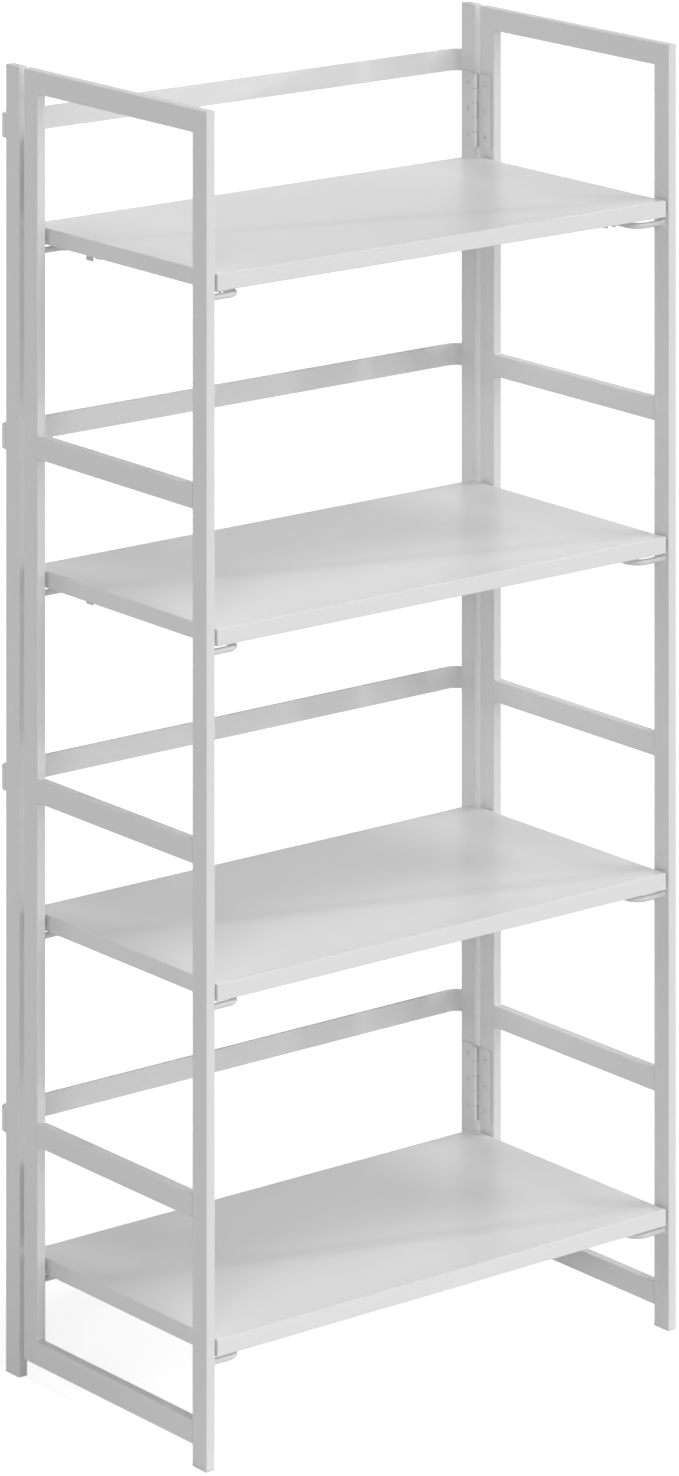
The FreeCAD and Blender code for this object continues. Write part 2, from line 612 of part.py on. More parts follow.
def make_clips(name, bottom):
    """Four saddle clips, open downward, that straddle the rods under a board."""
    clips = make_body(name + "_clips")
    half_gap = "(Sizes.rod_diameter / 2 + Sizes.clip_play)"
    half_width, lead = f"({half_gap} + Sizes.clip_leg)", "Sizes.clip_lead"
    seat, drop = "-Sizes.clip_seat", f"-({ROD_DROP} + Sizes.rod_diameter / 2 + Sizes.clip_skirt)"
    saddle = make_sketch(clips, name + "_saddle", "XZ_Plane", x=ROD_X, z=f"-{CLIP_FRONT}")
    right_half = (
        (half_width, "0"),
        (half_width, f"{drop} + {lead}"),
        (f"{half_width} - {lead}", drop),
        (f"{half_gap} + {lead}", drop),
        (half_gap, f"{drop} + {lead}"),
        (half_gap, seat),
    )
    left_half = tuple((f"-({x})", z) for x, z in reversed(right_half))
    draw_polygon(saddle, right_half + left_half)
    pad(clips, saddle, "Sizes.clip_length", both_ways=True)

    sink = make_sketch(clips, name + "_sink", "YZ_Plane", x=CLIP_FRONT, z=ROD_X)
    mouth = "(Sizes.clip_screw_head / 2 + Sizes.screw_play)"
    shank = "(Sizes.clip_screw_shank / 2 + Sizes.screw_play)"
    draw_polygon(sink, (
        ("0", seat),
        (mouth, seat),
        (shank, f"{seat} + Sizes.clip_screw_head_depth"),
        (shank, "0"),
        ("0", "0"),
    ))
    turn_profile(clips, sink, "PartDesign::Groove", axis="V_Axis")
    row_of(clips, "pair", "Y_Axis", CLIP_PITCH, 2)
    mirror(clips)
    place(clips, z=bottom)


def make_clip_screws(name, bottom):
    """One screw up through each clip into the board."""
    screws = make_body(name + "_clip_screws")
    seat = "-Sizes.clip_seat"
    make_screw(screws, "clip_screw", seat, True,
               dict(x=CLIP_FRONT, z=ROD_X), dict(x=ROD_X, y=CLIP_FRONT, z=seat))
    row_of(screws, "pair", "Y_Axis", CLIP_PITCH, 2)
    mirror(screws)
    place(screws, z=bottom)


def write_parts():
    """Check every object and every sub-part, then write one STEP file a sub-part."""
    doc.recompute()
    for thing in doc.Objects:
        if {"Invalid", "Error"} & set(thing.State):
            raise RuntimeError(f"{thing.Label} did not compute: {thing.State}")
    for node in nodes:
        if node.Shape.isNull() or not node.Shape.isValid():
            raise RuntimeError(f"{node.Label} has no valid shape")
    os.makedirs(PARTS, exist_ok=True)
    for node in nodes:
        node.Shape.exportStep(os.path.join(PARTS, node.Label + ".step"))
        solids = len(node.Shape.Solids)
        print(f"{node.Label}: {solids} solid{'s' if solids > 1 else ''}, {node.Shape.Volume:.1f} mm3")


make_sheet()
for side_name, side in SIDES:
    make_side_frame(side_name, side)
make_hinges()
make_back_frame()
for number in range(1, SHELVES + 1):
    for make_piece in (make_board, make_clips, make_clip_screws):
        make_piece(f"shelf_{number}", shelf_bottom(number))
write_parts()
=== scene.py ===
"""The looks of a white folding bookcase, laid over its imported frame.

The bookcase is two steel side frames hinged to a steel back frame, with four boards that sit on
the rods of the side frames. Its nodes keep their shape here and get their finishes, and the
welders' beads are added where the tubes, rods and bars meet. Lengths are in metres, in the row
frame: X to the right, Y to the back and Z up from the floor.
"""

import logging
import math
from dataclasses import dataclass, field
from enum import Enum

import bmesh
import bpy
from mathutils import Matrix, Vector


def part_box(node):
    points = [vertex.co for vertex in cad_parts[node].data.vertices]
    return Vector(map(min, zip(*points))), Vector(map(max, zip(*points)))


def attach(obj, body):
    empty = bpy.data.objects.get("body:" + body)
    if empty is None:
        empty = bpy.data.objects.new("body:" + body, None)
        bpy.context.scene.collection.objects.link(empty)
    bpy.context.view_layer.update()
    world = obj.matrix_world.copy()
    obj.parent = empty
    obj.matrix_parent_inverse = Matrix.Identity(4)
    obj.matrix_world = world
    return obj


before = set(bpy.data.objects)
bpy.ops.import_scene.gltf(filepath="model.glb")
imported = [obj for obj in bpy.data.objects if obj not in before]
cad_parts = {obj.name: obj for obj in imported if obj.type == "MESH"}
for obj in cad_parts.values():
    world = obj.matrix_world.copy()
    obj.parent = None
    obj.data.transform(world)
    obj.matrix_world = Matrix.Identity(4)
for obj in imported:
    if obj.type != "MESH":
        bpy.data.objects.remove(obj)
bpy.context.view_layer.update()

LOG = logging.getLogger("folding_bookcase")
MM = 0.001
SHELVES = 4
QUAD = 4
RIGHT = Vector((1.0, 0.0, 0.0))
BACK = Vector((0.0, 1.0, 0.0))
UP = Vector((0.0, 0.0, 1.0))


def grey(level: float) -> tuple[float, float, float, float]:
    """A neutral colour of that level."""
    return (level, level, level, 1.0)


class Side(Enum):
    """The two hands of the bookcase, with the way each lies from its middle."""

    LEFT = ("left", -1.0)
    RIGHT = ("right", 1.0)

    @property
    def word(self) -> str:
        """The word that the side's nodes begin with."""
        return self.value[0]

    @property
    def outward(self) -> Vector:
        """The direction from the middle of the bookcase to this side."""
        return RIGHT * self.value[1]


class Slot(Enum):
    """The record's material slots whose pieces share one material, by what they cover."""

    FRAME = "frame_paint"
    PLUG = "tube_plugs"
    CLIP = "clips"
    HINGE = "hinges"
    SCREW = "screws"


# ---------------------------------------------------------------------------------------------
# Node trees
# ---------------------------------------------------------------------------------------------


class Wiring:
    """A node tree with short calls for adding nodes and joining them.

    A Mix node has sockets for every kind of value, so its colour sockets are found by number.
    """

    mix_colours: tuple[int, int] = (6, 7)
    mixed_colour: int = 2

    def __init__(self, tree: bpy.types.NodeTree) -> None:
        """Takes the tree that nodes are added to.

        Args:
            tree: a shader node tree, of a material, a world or a group.
        """
        self.tree = tree

    def add(self, kind: str, **settings: object) -> bpy.types.Node:
        """Adds one node.

        Args:
            kind: the node's type without the words ShaderNode, such as TexNoise.
            settings: properties of the node, by name.

        Returns:
            The new node.
        """
        node = self.tree.nodes.new("ShaderNode" + kind)
        for name, value in settings.items():
            setattr(node, name, value)
        return node

    def feed(self, value: object, socket: bpy.types.NodeSocket) -> None:
        """Links an output to a socket, or sets the socket to a constant.

        Args:
            value: a node's output, or a number or colour.
            socket: the input that it goes to.
        """
        if isinstance(value, bpy.types.NodeSocket):
            self.tree.links.new(value, socket)
        else:
            socket.default_value = value

    def sum_up(self, operation: str, *values: object, clamp: bool = False) -> bpy.types.NodeSocket:
        """Adds a Math node.

        Args:
            operation: the node's operation, such as MULTIPLY.
            values: outputs or numbers, in the order of the node's inputs.
            clamp: True keeps the result between 0 and 1.

        Returns:
            The output of the node.
        """
        node = self.add("Math", operation=operation, use_clamp=clamp)
        for value, socket in zip(values, node.inputs):
            self.feed(value, socket)
        return node.outputs[0]

    def spread(self, value: object, low: object, high: object) -> bpy.types.NodeSocket:
        """Stretches a value from 0 to 1 over another span.

        Args:
            value: an output between 0 and 1.
            low: what 0 becomes.
            high: what 1 becomes.

        Returns:
            The stretched value.
        """
        node = self.add("MapRange")
        self.feed(value, node.inputs["Value"])
        self.feed(low, node.inputs["To Min"])
        self.feed(high, node.inputs["To Max"])
        return node.outputs["Result"]

    def blend(self, share: object, first: object, second: object) -> bpy.types.NodeSocket:
        """Mixes two colours.

        Args:
            share: how much of the second colour, from 0 to 1.
            first: an output or a colour.
            second: an output or a colour.

        Returns:
            The mixed colour.
        """
        node = self.add("Mix", data_type="RGBA")
        self.feed(share, node.inputs["Factor"])
        for colour, number in zip((first, second), self.mix_colours):
            self.feed(colour, node.inputs[number])
        return node.outputs[self.mixed_colour]

    def noise(self, vector: bpy.types.NodeSocket, size: object, detail: float) -> bpy.types.NodeSocket:
        """Adds a noise texture whose cells have a real size.

        Args:
            vector: the place that the noise is read at, in metres.
            size: the size of a cell, in metres.
            detail: how many finer layers lie over it.

        Returns:
            The noise, from 0 to 1.
        """
        node = self.add("TexNoise")
        self.feed(vector, node.inputs["Vector"])
        self.feed(self.sum_up("DIVIDE", 1.0, size), node.inputs["Scale"])
        self.feed(detail, node.inputs["Detail"])
        return node.outputs["Fac"]


class Effect:
    """A shader node group that several finishes place with values of their own."""

    name: str = ""
    takes: tuple[tuple[str, str], ...] = ()
    gives: tuple[tuple[str, str], ...] = ()

    def group(self) -> bpy.types.NodeTree:
        """Builds the group the first time, and finds it after that.

        Returns:
            The node group.
        """
        found = bpy.data.node_groups.get(self.name)
        if found is not None:
            return found
        tree = bpy.data.node_groups.new(self.name, "ShaderNodeTree")
        for in_out, sockets in (("INPUT", self.takes), ("OUTPUT", self.gives)):
            for socket, kind in sockets:
                tree.interface.new_socket(socket, in_out=in_out, socket_type="NodeSocket" + kind)
        start = tree.nodes.new("NodeGroupInput")
        end = tree.nodes.new("NodeGroupOutput")
        self.wire(Wiring(tree), start.outputs, end.inputs)
        return tree

    def wire(self, wiring: Wiring, takes: bpy.types.NodeOutputs, gives: bpy.types.NodeInputs) -> None:
        """Fills the group.

        Args:
            wiring: the group's tree.
            takes: the group's inputs, by name.
            gives: the group's outputs, by name.
        """
        raise NotImplementedError

    def place(self, wiring: Wiring, **values: object) -> bpy.types.NodeOutputs:
        """Puts the effect into a material.

        Args:
            wiring: the material's tree.
            values: what each input gets, by its name with _ for a space.

        Returns:
            The outputs of the placed group.
        """
        node = wiring.add("Group", node_tree=self.group())
        for name, value in values.items():
            wiring.feed(value, node.inputs[name.replace("_", " ").capitalize()])
        return node.outputs


class SurfaceGrain(Effect):
    """Fine relief, slow changes of tone and patches of gloss, each at its own real size."""

    name = "surface_grain"
    takes = (
        ("Place", "Vector"),
        ("Relief size", "Float"),
        ("Patch size", "Float"),
        ("Tone size", "Float"),
    )
    gives = (("Relief", "Float"), ("Patch", "Float"), ("Tone", "Float"))
    details: dict[str, float] = {"Relief": 1.0, "Patch": 3.0, "Tone": 2.0}

    def wire(self, wiring: Wiring, takes: bpy.types.NodeOutputs, gives: bpy.types.NodeInputs) -> None:
        """Three layers of noise at the sizes that the inputs give.

        Args:
            wiring: the group's tree.
            takes: the group's inputs, by name.
            gives: the group's outputs, by name.
        """
        for layer, detail in self.details.items():
            wiring.feed(wiring.noise(takes["Place"], takes[f"{layer} size"], detail), gives[layer])


class EdgeRub(Effect):
    """A mask of the edges, where handling has polished the surface, broken up along its length."""

    name = "edge_rub"
    takes = (("Place", "Vector"), ("Width", "Float"), ("Break size", "Float"), ("Amount", "Float"))
    gives = (("Mask", "Float"),)
    sharpness: float = 6.0
    break_detail: float = 4.0
    samples: int = 4

    def wire(self, wiring: Wiring, takes: bpy.types.NodeOutputs, gives: bpy.types.NodeInputs) -> None:
        """How far the rounded normal turns from the plain one, times noise.

        Args:
            wiring: the group's tree.
            takes: the group's inputs, by name.
            gives: the group's outputs, by name.
        """
        rounded = wiring.add("Bevel", samples=self.samples)
        wiring.feed(takes["Width"], rounded.inputs["Radius"])
        plain = wiring.add("NewGeometry")
        meet = wiring.add("VectorMath", operation="DOT_PRODUCT")
        wiring.feed(rounded.outputs["Normal"], meet.inputs[0])
        wiring.feed(plain.outputs["Normal"], meet.inputs[1])
        turn = wiring.sum_up("SUBTRACT", 1.0, meet.outputs["Value"], clamp=True)
        edge = wiring.sum_up("MULTIPLY", turn, self.sharpness, clamp=True)
        broken = wiring.noise(takes["Place"], takes["Break size"], self.break_detail)
        rubbed = wiring.sum_up("MULTIPLY", edge, broken)
        wiring.feed(wiring.sum_up("MULTIPLY", rubbed, takes["Amount"], clamp=True), gives["Mask"])


class PaintedCornerShade(Effect):
    """A mask of the inner corners and slots, for the painted shade that darkens them."""

    name = "painted_corner_shade"
    takes = (("Reach", "Float"), ("Amount", "Float"))
    gives = (("Mask", "Float"),)
    samples: int = 6

    def wire(self, wiring: Wiring, takes: bpy.types.NodeOutputs, gives: bpy.types.NodeInputs) -> None:
        """How much of the near surroundings is closed off.

        Args:
            wiring: the group's tree.
            takes: the group's inputs, by name.
            gives: the group's outputs, by name.
        """
        opening = wiring.add("AmbientOcclusion", samples=self.samples)
        wiring.feed(takes["Reach"], opening.inputs["Distance"])
        closed = wiring.sum_up("SUBTRACT", 1.0, opening.outputs["AO"], clamp=True)
        wiring.feed(wiring.sum_up("MULTIPLY", closed, takes["Amount"], clamp=True), gives["Mask"])


class BandSeam(Effect):
    """A mask of the glue line between a board's face and the band on its edges."""

    name = "band_seam"
    takes = (("Place", "Vector"), ("Half size", "Vector"), ("Band", "Float"), ("Line", "Float"))
    gives = (("Mask", "Float"),)

    def wire(self, wiring: Wiring, takes: bpy.types.NodeOutputs, gives: bpy.types.NodeInputs) -> None:
        """A thin line at the band's thickness from the nearest of the four edges.

        Args:
            wiring: the group's tree.
            takes: the group's inputs, by name.
            gives: the group's outputs, by name.
        """
        away = wiring.add("VectorMath", operation="ABSOLUTE")
        wiring.feed(takes["Place"], away.inputs[0])
        inside = wiring.add("VectorMath", operation="SUBTRACT")
        wiring.feed(takes["Half size"], inside.inputs[0])
        wiring.feed(away.outputs[0], inside.inputs[1])
        parts = wiring.add("SeparateXYZ")
        wiring.feed(inside.outputs[0], parts.inputs[0])
        nearest = wiring.sum_up("MINIMUM", parts.outputs["X"], parts.outputs["Y"])
        off = wiring.sum_up("ABSOLUTE", wiring.sum_up("SUBTRACT", nearest, takes["Band"]))
        share = wiring.sum_up("DIVIDE", off, takes["Line"], clamp=True)
        wiring.feed(wiring.sum_up("SUBTRACT", 1.0, share, clamp=True), gives["Mask"])


# ---------------------------------------------------------------------------------------------
# Finishes
# ---------------------------------------------------------------------------------------------


@dataclass(frozen=True)
class Finish:
    """A finish with relief, slow tone, gloss patches, rubbed edges and painted shade in its inner corners.
    """

    name: str
    tone: float
    roughness: float
    tone_change: float = 0.012
    tone_size: float = 140 * MM
    roughness_change: float = 0.05
    patch_size: float = 9 * MM
    relief_size: float = 1.1 * MM
    relief_depth: float = 0.008 * MM
    rub_width: float = 0.8 * MM
    rub_amount: float = 0.5
    rub_gain: float = 0.03
    # The shade fields set the painted shade: how far the occlusion reaches, how much it counts and how
    # dark it makes the colour.
    shade_reach: float = 3 * MM
    shade_amount: float = 0.5
    shade_depth: float = 0.16

    def build(self) -> bpy.types.Material:
        """Makes the material.

        Returns:
            The material, ready for any piece of this finish.
        """
        material = bpy.data.materials.new(self.name)
        material.use_nodes = True
        wiring = Wiring(material.node_tree)
        shader = material.node_tree.nodes["Principled BSDF"]
        place = wiring.add("TexCoord").outputs["Object"]
        grain = SurfaceGrain().place(
            wiring, place=place, relief_size=self.relief_size,
            patch_size=self.patch_size, tone_size=self.tone_size,
        )
        rub = EdgeRub().place(
            wiring, place=place, width=self.rub_width, break_size=self.patch_size, amount=self.rub_amount,
        )["Mask"]
        # Painted shade: occlusion in the inner corners and slots, which darkens the base colour.
        shade = PaintedCornerShade().place(wiring, reach=self.shade_reach, amount=self.shade_amount)["Mask"]
        colour = self.colour(wiring, place, grain, rub, shade)
        wiring.feed(colour, shader.inputs["Base Color"])
        low = self.roughness - self.roughness_change
        high = self.roughness + self.roughness_change
        gloss = wiring.spread(grain["Patch"], low, high)
        wiring.feed(wiring.sum_up("SUBTRACT", gloss, rub, clamp=True), shader.inputs["Roughness"])
        bump = wiring.add("Bump")
        bump.inputs["Distance"].default_value = self.relief_depth
        wiring.feed(self.relief(wiring, place, grain), bump.inputs["Height"])
        wiring.feed(bump.outputs["Normal"], shader.inputs["Normal"])
        return material

    def colour(
        self,
        wiring: Wiring,
        place: bpy.types.NodeSocket,
        grain: bpy.types.NodeOutputs,
        rub: bpy.types.NodeSocket,
        shade: bpy.types.NodeSocket,
    ) -> bpy.types.NodeSocket:
        """Mixes the base colour.

        Args:
            wiring: the material's tree.
            place: the place on the piece.
            grain: the outputs of the surface grain.
            rub: the mask of the rubbed edges.
            shade: the mask of the painted shade in the inner corners.

        Returns:
            The colour.
        """
        dark = grey(self.tone - self.tone_change)
        light = grey(self.tone + self.tone_change)
        colour = wiring.blend(grain["Tone"], dark, light)
        colour = wiring.blend(rub, colour, grey(min(1.0, self.tone + self.rub_gain)))
        # Painted shade: the colour goes darker where the occlusion mask closes in.
        return wiring.blend(shade, colour, grey(self.tone - self.shade_depth))

    def relief(
        self, wiring: Wiring, place: bpy.types.NodeSocket, grain: bpy.types.NodeOutputs
    ) -> bpy.types.NodeSocket:
        """The height that the bump reads, from 0 to 1."""
        return grain["Relief"]


@dataclass(frozen=True, kw_only=True)
class BandedBoard(Finish):
    """A laminated board whose edges are covered by a glued band."""

    centre: tuple[float, float, float]
    half_size: tuple[float, float, float]
    band: float = 0.8 * MM
    line: float = 0.25 * MM
    seam_depth: float = 0.09

    def seam(self, wiring: Wiring, place: bpy.types.NodeSocket) -> bpy.types.NodeSocket:
        """The mask of the glue line.

        Args:
            wiring: the material's tree.
            place: the place on the piece.

        Returns:
            The mask.
        """
        centred = wiring.add("Mapping")
        wiring.feed(place, centred.inputs["Vector"])
        centred.inputs["Location"].default_value = [-value for value in self.centre]
        return BandSeam().place(
            wiring, place=centred.outputs[0], half_size=self.half_size, band=self.band, line=self.line,
        )["Mask"]

    def colour(
        self,
        wiring: Wiring,
        place: bpy.types.NodeSocket,
        grain: bpy.types.NodeOutputs,
        rub: bpy.types.NodeSocket,
        shade: bpy.types.NodeSocket,
    ) -> bpy.types.NodeSocket:
        """The plain finish with the glue line drawn over it."""
        colour = super().colour(wiring, place, grain, rub, shade)
        return wiring.blend(self.seam(wiring, place), colour, grey(self.tone - self.seam_depth))

    def relief(
        self, wiring: Wiring, place: bpy.types.NodeSocket, grain: bpy.types.NodeOutputs
    ) -> bpy.types.NodeSocket:
        """The plain relief with a groove at the glue line."""
        return wiring.sum_up("SUBTRACT", grain["Relief"], self.seam(wiring, place))


FINISHES: dict[Slot, Finish] = {
    Slot.FRAME: Finish("satin_powder_coat", tone=0.80, roughness=0.42),
    # The hinges and screws get deep painted shade: dark outlines round the leaves, dark knuckle slots and
    # dark rings round the screw heads.
    Slot.HINGE: Finish(
        "painted_hinge_steel", tone=0.79, roughness=0.40, relief_size=0.9 * MM, shade_reach=2.5 * MM,
        shade_amount=1.0, shade_depth=0.5,
    ),
    Slot.SCREW: Finish(
        "painted_screw_steel", tone=0.78, roughness=0.36, relief_size=0.7 * MM, shade_depth=0.34,
        rub_gain=0.06,
    ),
    Slot.PLUG: Finish(
        "moulded_plug_plastic", tone=0.76, roughness=0.5, relief_size=0.5 * MM,
        relief_depth=0.012 * MM, rub_gain=0.0,
    ),
    Slot.CLIP: Finish(
        "moulded_clip_plastic", tone=0.78, roughness=0.45, relief_size=0.6 * MM,
        relief_depth=0.006 * MM, rub_gain=0.0,
    ),
}


# ---------------------------------------------------------------------------------------------
# Workshop
# ---------------------------------------------------------------------------------------------


@dataclass
class Workshop:
    """Holds the finished materials, and hands out pieces and dressed nodes."""

    materials: dict[Slot, bpy.types.Material] = field(default_factory=dict)

    def mix(self) -> None:
        """Makes a material of each finish."""
        for slot, finish in FINISHES.items():
            self.materials[slot] = finish.build()
            LOG.info("finish %s is mixed", finish.name)

    def dress(self, node: str, material: bpy.types.Material) -> None:
        """Gives a node of the frame its finish.

        Args:
            node: the node's name.
            material: the finish's material.
        """
        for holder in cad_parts[node].material_slots:
            holder.material = material

    def dress_all(self, nodes: dict[Slot, list[str]]) -> None:
        """Gives many nodes the finishes of their slots.

        Args:
            nodes: the names of the nodes of each slot.
        """
        for slot, names in nodes.items():
            for name in names:
                self.dress(name, self.materials[slot])

    def piece(self, name: str, mesh: bmesh.types.BMesh, body: str, slot: Slot) -> None:
        """Turns a finished mesh into a piece that rides on a body.

        Args:
            name: the piece's name.
            mesh: its mesh, in place in the row frame; it is freed here.
            body: the body that carries it.
            slot: the material slot that it takes its finish from.
        """
        bmesh.ops.recalc_face_normals(mesh, faces=mesh.faces)
        data = bpy.data.meshes.new(name)
        mesh.to_mesh(data)
        mesh.free()
        data.shade_smooth()
        data.materials.append(self.materials[slot])
        made = bpy.data.objects.new(name, data)
        bpy.context.scene.collection.objects.link(made)
        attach(made, body)
        LOG.info("%s: %d faces on %s", name, len(data.polygons), body)


@dataclass(frozen=True)
class WeldBead:
    """A small weld in an inner corner, laid in even ripples.

    Its section is a quarter round whose two flat sides lie a little below the welded surfaces.
    """

    leg: float = 2.2 * MM
    sink: float = 0.15 * MM
    ripple: float = 1.1 * MM
    ripple_depth: float = 0.07
    rings_per_ripple: int = 4
    fewest_rings: int = 6
    round_segments: int = 24
    end_share: float = 0.45

    def section(self, mesh: bmesh.types.BMesh) -> list[bmesh.types.BMFace]:
        """Draws the quarter round in the XY plane, its flat sides just below the two axes.

        Args:
            mesh: the mesh that it is drawn in.

        Returns:
            The section's one face.
        """
        bmesh.ops.create_circle(mesh, cap_ends=True, segments=self.round_segments, radius=self.leg)
        for axis in (RIGHT, BACK):
            everything = [*mesh.verts, *mesh.edges, *mesh.faces]
            bmesh.ops.bisect_plane(
                mesh, geom=everything, plane_co=-axis * self.sink, plane_no=axis, clear_inner=True
            )
        return mesh.faces[:]

    def swell(self, share: float, length: float) -> float:
        """Works out how large the section is at one place.

        Args:
            share: the place, from 0 at the bead's start to 1 at its end.
            length: the bead's length.

        Returns:
            The section's size there, as a share of its full size.
        """
        wave = math.cos(2 * math.pi * share * length / self.ripple)
        near_end = min(share, 1 - share) * length / self.leg
        ease = min(1.0, self.end_share + near_end)
        return ease * (1 + self.ripple_depth * wave)

    def run(
        self,
        mesh: bmesh.types.BMesh,
        start: Vector,
        along: Vector,
        length: float,
        first: Vector,
        second: Vector,
    ) -> None:
        """Lays a straight bead.

        Args:
            mesh: the mesh that it goes into.
            start: the end of the corner line where it begins.
            along: the direction of the corner line.
            length: how long it is.
            first: the direction of one welded surface, away from the corner.
            second: the direction of the other.
        """
        bead = bmesh.new()
        faces = self.section(bead)
        rings = max(self.fewest_rings, round(length / self.ripple) * self.rings_per_ripple)
        bmesh.ops.scale(bead, vec=Vector((1, 1, 1)) * self.swell(0, length), verts=bead.verts)
        for ring in range(1, rings + 1):
            grown = bmesh.ops.extrude_face_region(bead, geom=faces)["geom"]
            verts = [item for item in grown if isinstance(item, bmesh.types.BMVert)]
            faces = [item for item in grown if isinstance(item, bmesh.types.BMFace)]
            bmesh.ops.translate(bead, vec=UP * (length / rings), verts=verts)
            change = self.swell(ring / rings, length) / self.swell((ring - 1) / rings, length)
            bmesh.ops.scale(bead, vec=(change, change, 1), verts=verts)
        turn = Matrix((first, second, along)).transposed().to_4x4()
        bmesh.ops.transform(bead, matrix=Matrix.Translation(start) @ turn, verts=bead.verts)
        self.join(bead, mesh)

    def ring(self, mesh: bmesh.types.BMesh, centre: Vector, axis: Vector, radius: float) -> None:
        """Lays a bead round a rod that stands on a surface.

        Args:
            mesh: the mesh that it goes into.
            centre: where the rod's axis meets the surface.
            axis: the direction of the rod, away from the surface.
            radius: the rod's radius.
        """
        bead = bmesh.new()
        section = self.section(bead)
        upright = Matrix((RIGHT, UP, -BACK)).transposed().to_4x4()
        bmesh.ops.transform(bead, matrix=Matrix.Translation(RIGHT * radius) @ upright, verts=bead.verts)
        bmesh.ops.spin(
            bead, geom=section, cent=(0, 0, 0), axis=UP, angle=2 * math.pi,
            steps=self.round_segments, use_merge=True,
        )
        # The spin leaves the section inside the ring, as the one face that isn't a quad.
        inner = [face for face in bead.faces if len(face.verts) != QUAD]
        bmesh.ops.delete(bead, geom=inner, context="FACES_ONLY")
        turn = UP.rotation_difference(axis).to_matrix().to_4x4()
        bmesh.ops.transform(bead, matrix=Matrix.Translation(centre) @ turn, verts=bead.verts)
        self.join(bead, mesh)

    def join(self, bead: bmesh.types.BMesh, mesh: bmesh.types.BMesh) -> None:
        """Moves a finished bead into the mesh of its piece.

        Args:
            bead: the bead's own mesh; it is freed here.
            mesh: the mesh that takes it.
        """
        bmesh.ops.recalc_face_normals(bead, faces=bead.faces)
        held = bpy.data.meshes.new("bead")
        bead.to_mesh(held)
        bead.free()
        mesh.from_mesh(held)
        bpy.data.meshes.remove(held)


# ---------------------------------------------------------------------------------------------
# Sub-assemblies
# ---------------------------------------------------------------------------------------------


@dataclass
class SideFrame:
    """A welded side frame: two posts, five rails and the four rods that carry the boards."""

    side: Side
    shop: Workshop
    side_rails: int = 3
    rods: int = SHELVES
    rail_bead: WeldBead = WeldBead(leg=1.3 * MM, ripple_depth=0.03)
    rod_bead: WeldBead = WeldBead(leg=0.9 * MM, sink=0.05 * MM)
    bead_margin: float = 0.8 * MM

    @property
    def body(self) -> str:
        """The body that the frame's pieces ride on."""
        return f"{self.side.word}_frame"

    def node(self, name: str) -> str:
        """The full name of one of this frame's nodes."""
        return f"{self.side.word}_{name}"

    def build(self) -> None:
        """Lays the beads and dresses the nodes."""
        self.weld_rails()
        self.weld_rods()
        self.dress()

    def weld_rails(self) -> None:
        """Lays a bead across each inner corner between a rail and a post."""
        mesh = bmesh.new()
        low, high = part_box(self.node("front_post"))
        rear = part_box(self.node("rear_post"))[0].y
        start = low.x + self.bead_margin
        length = high.x - low.x - 2 * self.bead_margin
        rails = {self.node(f"side_rail_{number + 1}"): (UP, -UP) for number in range(self.side_rails)}
        rails[self.node("top_rail")] = (-UP,)
        rails[self.node("bottom_rail")] = (UP,)
        for rail, faces in rails.items():
            bottom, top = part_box(rail)
            for away in faces:
                height = top.z if away.z > 0 else bottom.z
                for reach, toward in ((high.y, BACK), (rear, -BACK)):
                    self.rail_bead.run(mesh, Vector((start, reach, height)), RIGHT, length, toward, away)
        self.shop.piece(self.node("rail_beads"), mesh, self.body, Slot.FRAME)

    def weld_rods(self) -> None:
        """Lays a bead round both ends of each rod, where it meets the posts."""
        mesh = bmesh.new()
        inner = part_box(self.node("front_post"))[1 if self.side is Side.LEFT else 0].x
        for number in range(self.rods):
            low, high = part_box(self.node(f"rod_{number + 1}"))
            radius = (high.z - low.z) / 2
            for reach in (low.y + radius, high.y - radius):
                centre = Vector((inner, reach, low.z + radius))
                self.rod_bead.ring(mesh, centre, -self.side.outward, radius)
        self.shop.piece(self.node("rod_beads"), mesh, self.body, Slot.FRAME)

    def dress(self) -> None:
        """Gives each node of the frame its finish."""
        rails = [f"side_rail_{number + 1}" for number in range(self.side_rails)]
        rods = [f"rod_{number + 1}" for number in range(self.rods)]
        parts = {
            Slot.FRAME: ["front_post", "rear_post", "top_rail", "bottom_rail", *rails, *rods],
            Slot.PLUG: ["front_foot"],
            Slot.HINGE: ["lower_side_leaf", "upper_side_leaf", "hinge_pins"],
            Slot.SCREW: ["side_screws"],
        }
        self.shop.dress_all({slot: [self.node(name) for name in names] for slot, names in parts.items()})


@dataclass
class BackFrame:
    """The back frame: two uprights joined by four flat bars, with its feet, caps and leaves."""

    shop: Workshop
    bars: int = SHELVES
    bar_bead: WeldBead = WeldBead(leg=2.0 * MM)
    bar_thickness: float = 3 * MM
    body: str = "back_frame"

    def build(self) -> None:
        """Lays the beads and dresses the nodes."""
        self.weld_bars()
        self.dress()

    def weld_bars(self) -> None:
        """Lays an upright bead inside each end of each bar, against the upright's rear face."""
        mesh = bmesh.new()
        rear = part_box("left_upright")[1].y
        for number in range(self.bars):
            low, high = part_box(f"back_bar_{number + 1}")
            for side, end in ((Side.LEFT, low.x), (Side.RIGHT, high.x)):
                inner = end - side.value[1] * self.bar_thickness
                start = Vector((inner, rear, low.z))
                self.bar_bead.run(mesh, start, UP, high.z - low.z, -side.outward, BACK)
        self.shop.piece("bar_beads", mesh, self.body, Slot.FRAME)

    def dress(self) -> None:
        """Gives each node of the back frame its finish."""
        bars = [f"back_bar_{number + 1}" for number in range(self.bars)]
        self.shop.dress_all({Slot.FRAME: bars, Slot.SCREW: ["back_screws"]})
        for side in Side:
            self.shop.dress_all({
                Slot.FRAME: [f"{side.word}_upright"],
                Slot.PLUG: [f"{side.word}_back_foot", f"{side.word}_top_cap"],
                Slot.HINGE: [f"{side.word}_lower_back_leaf", f"{side.word}_upper_back_leaf"],
            })


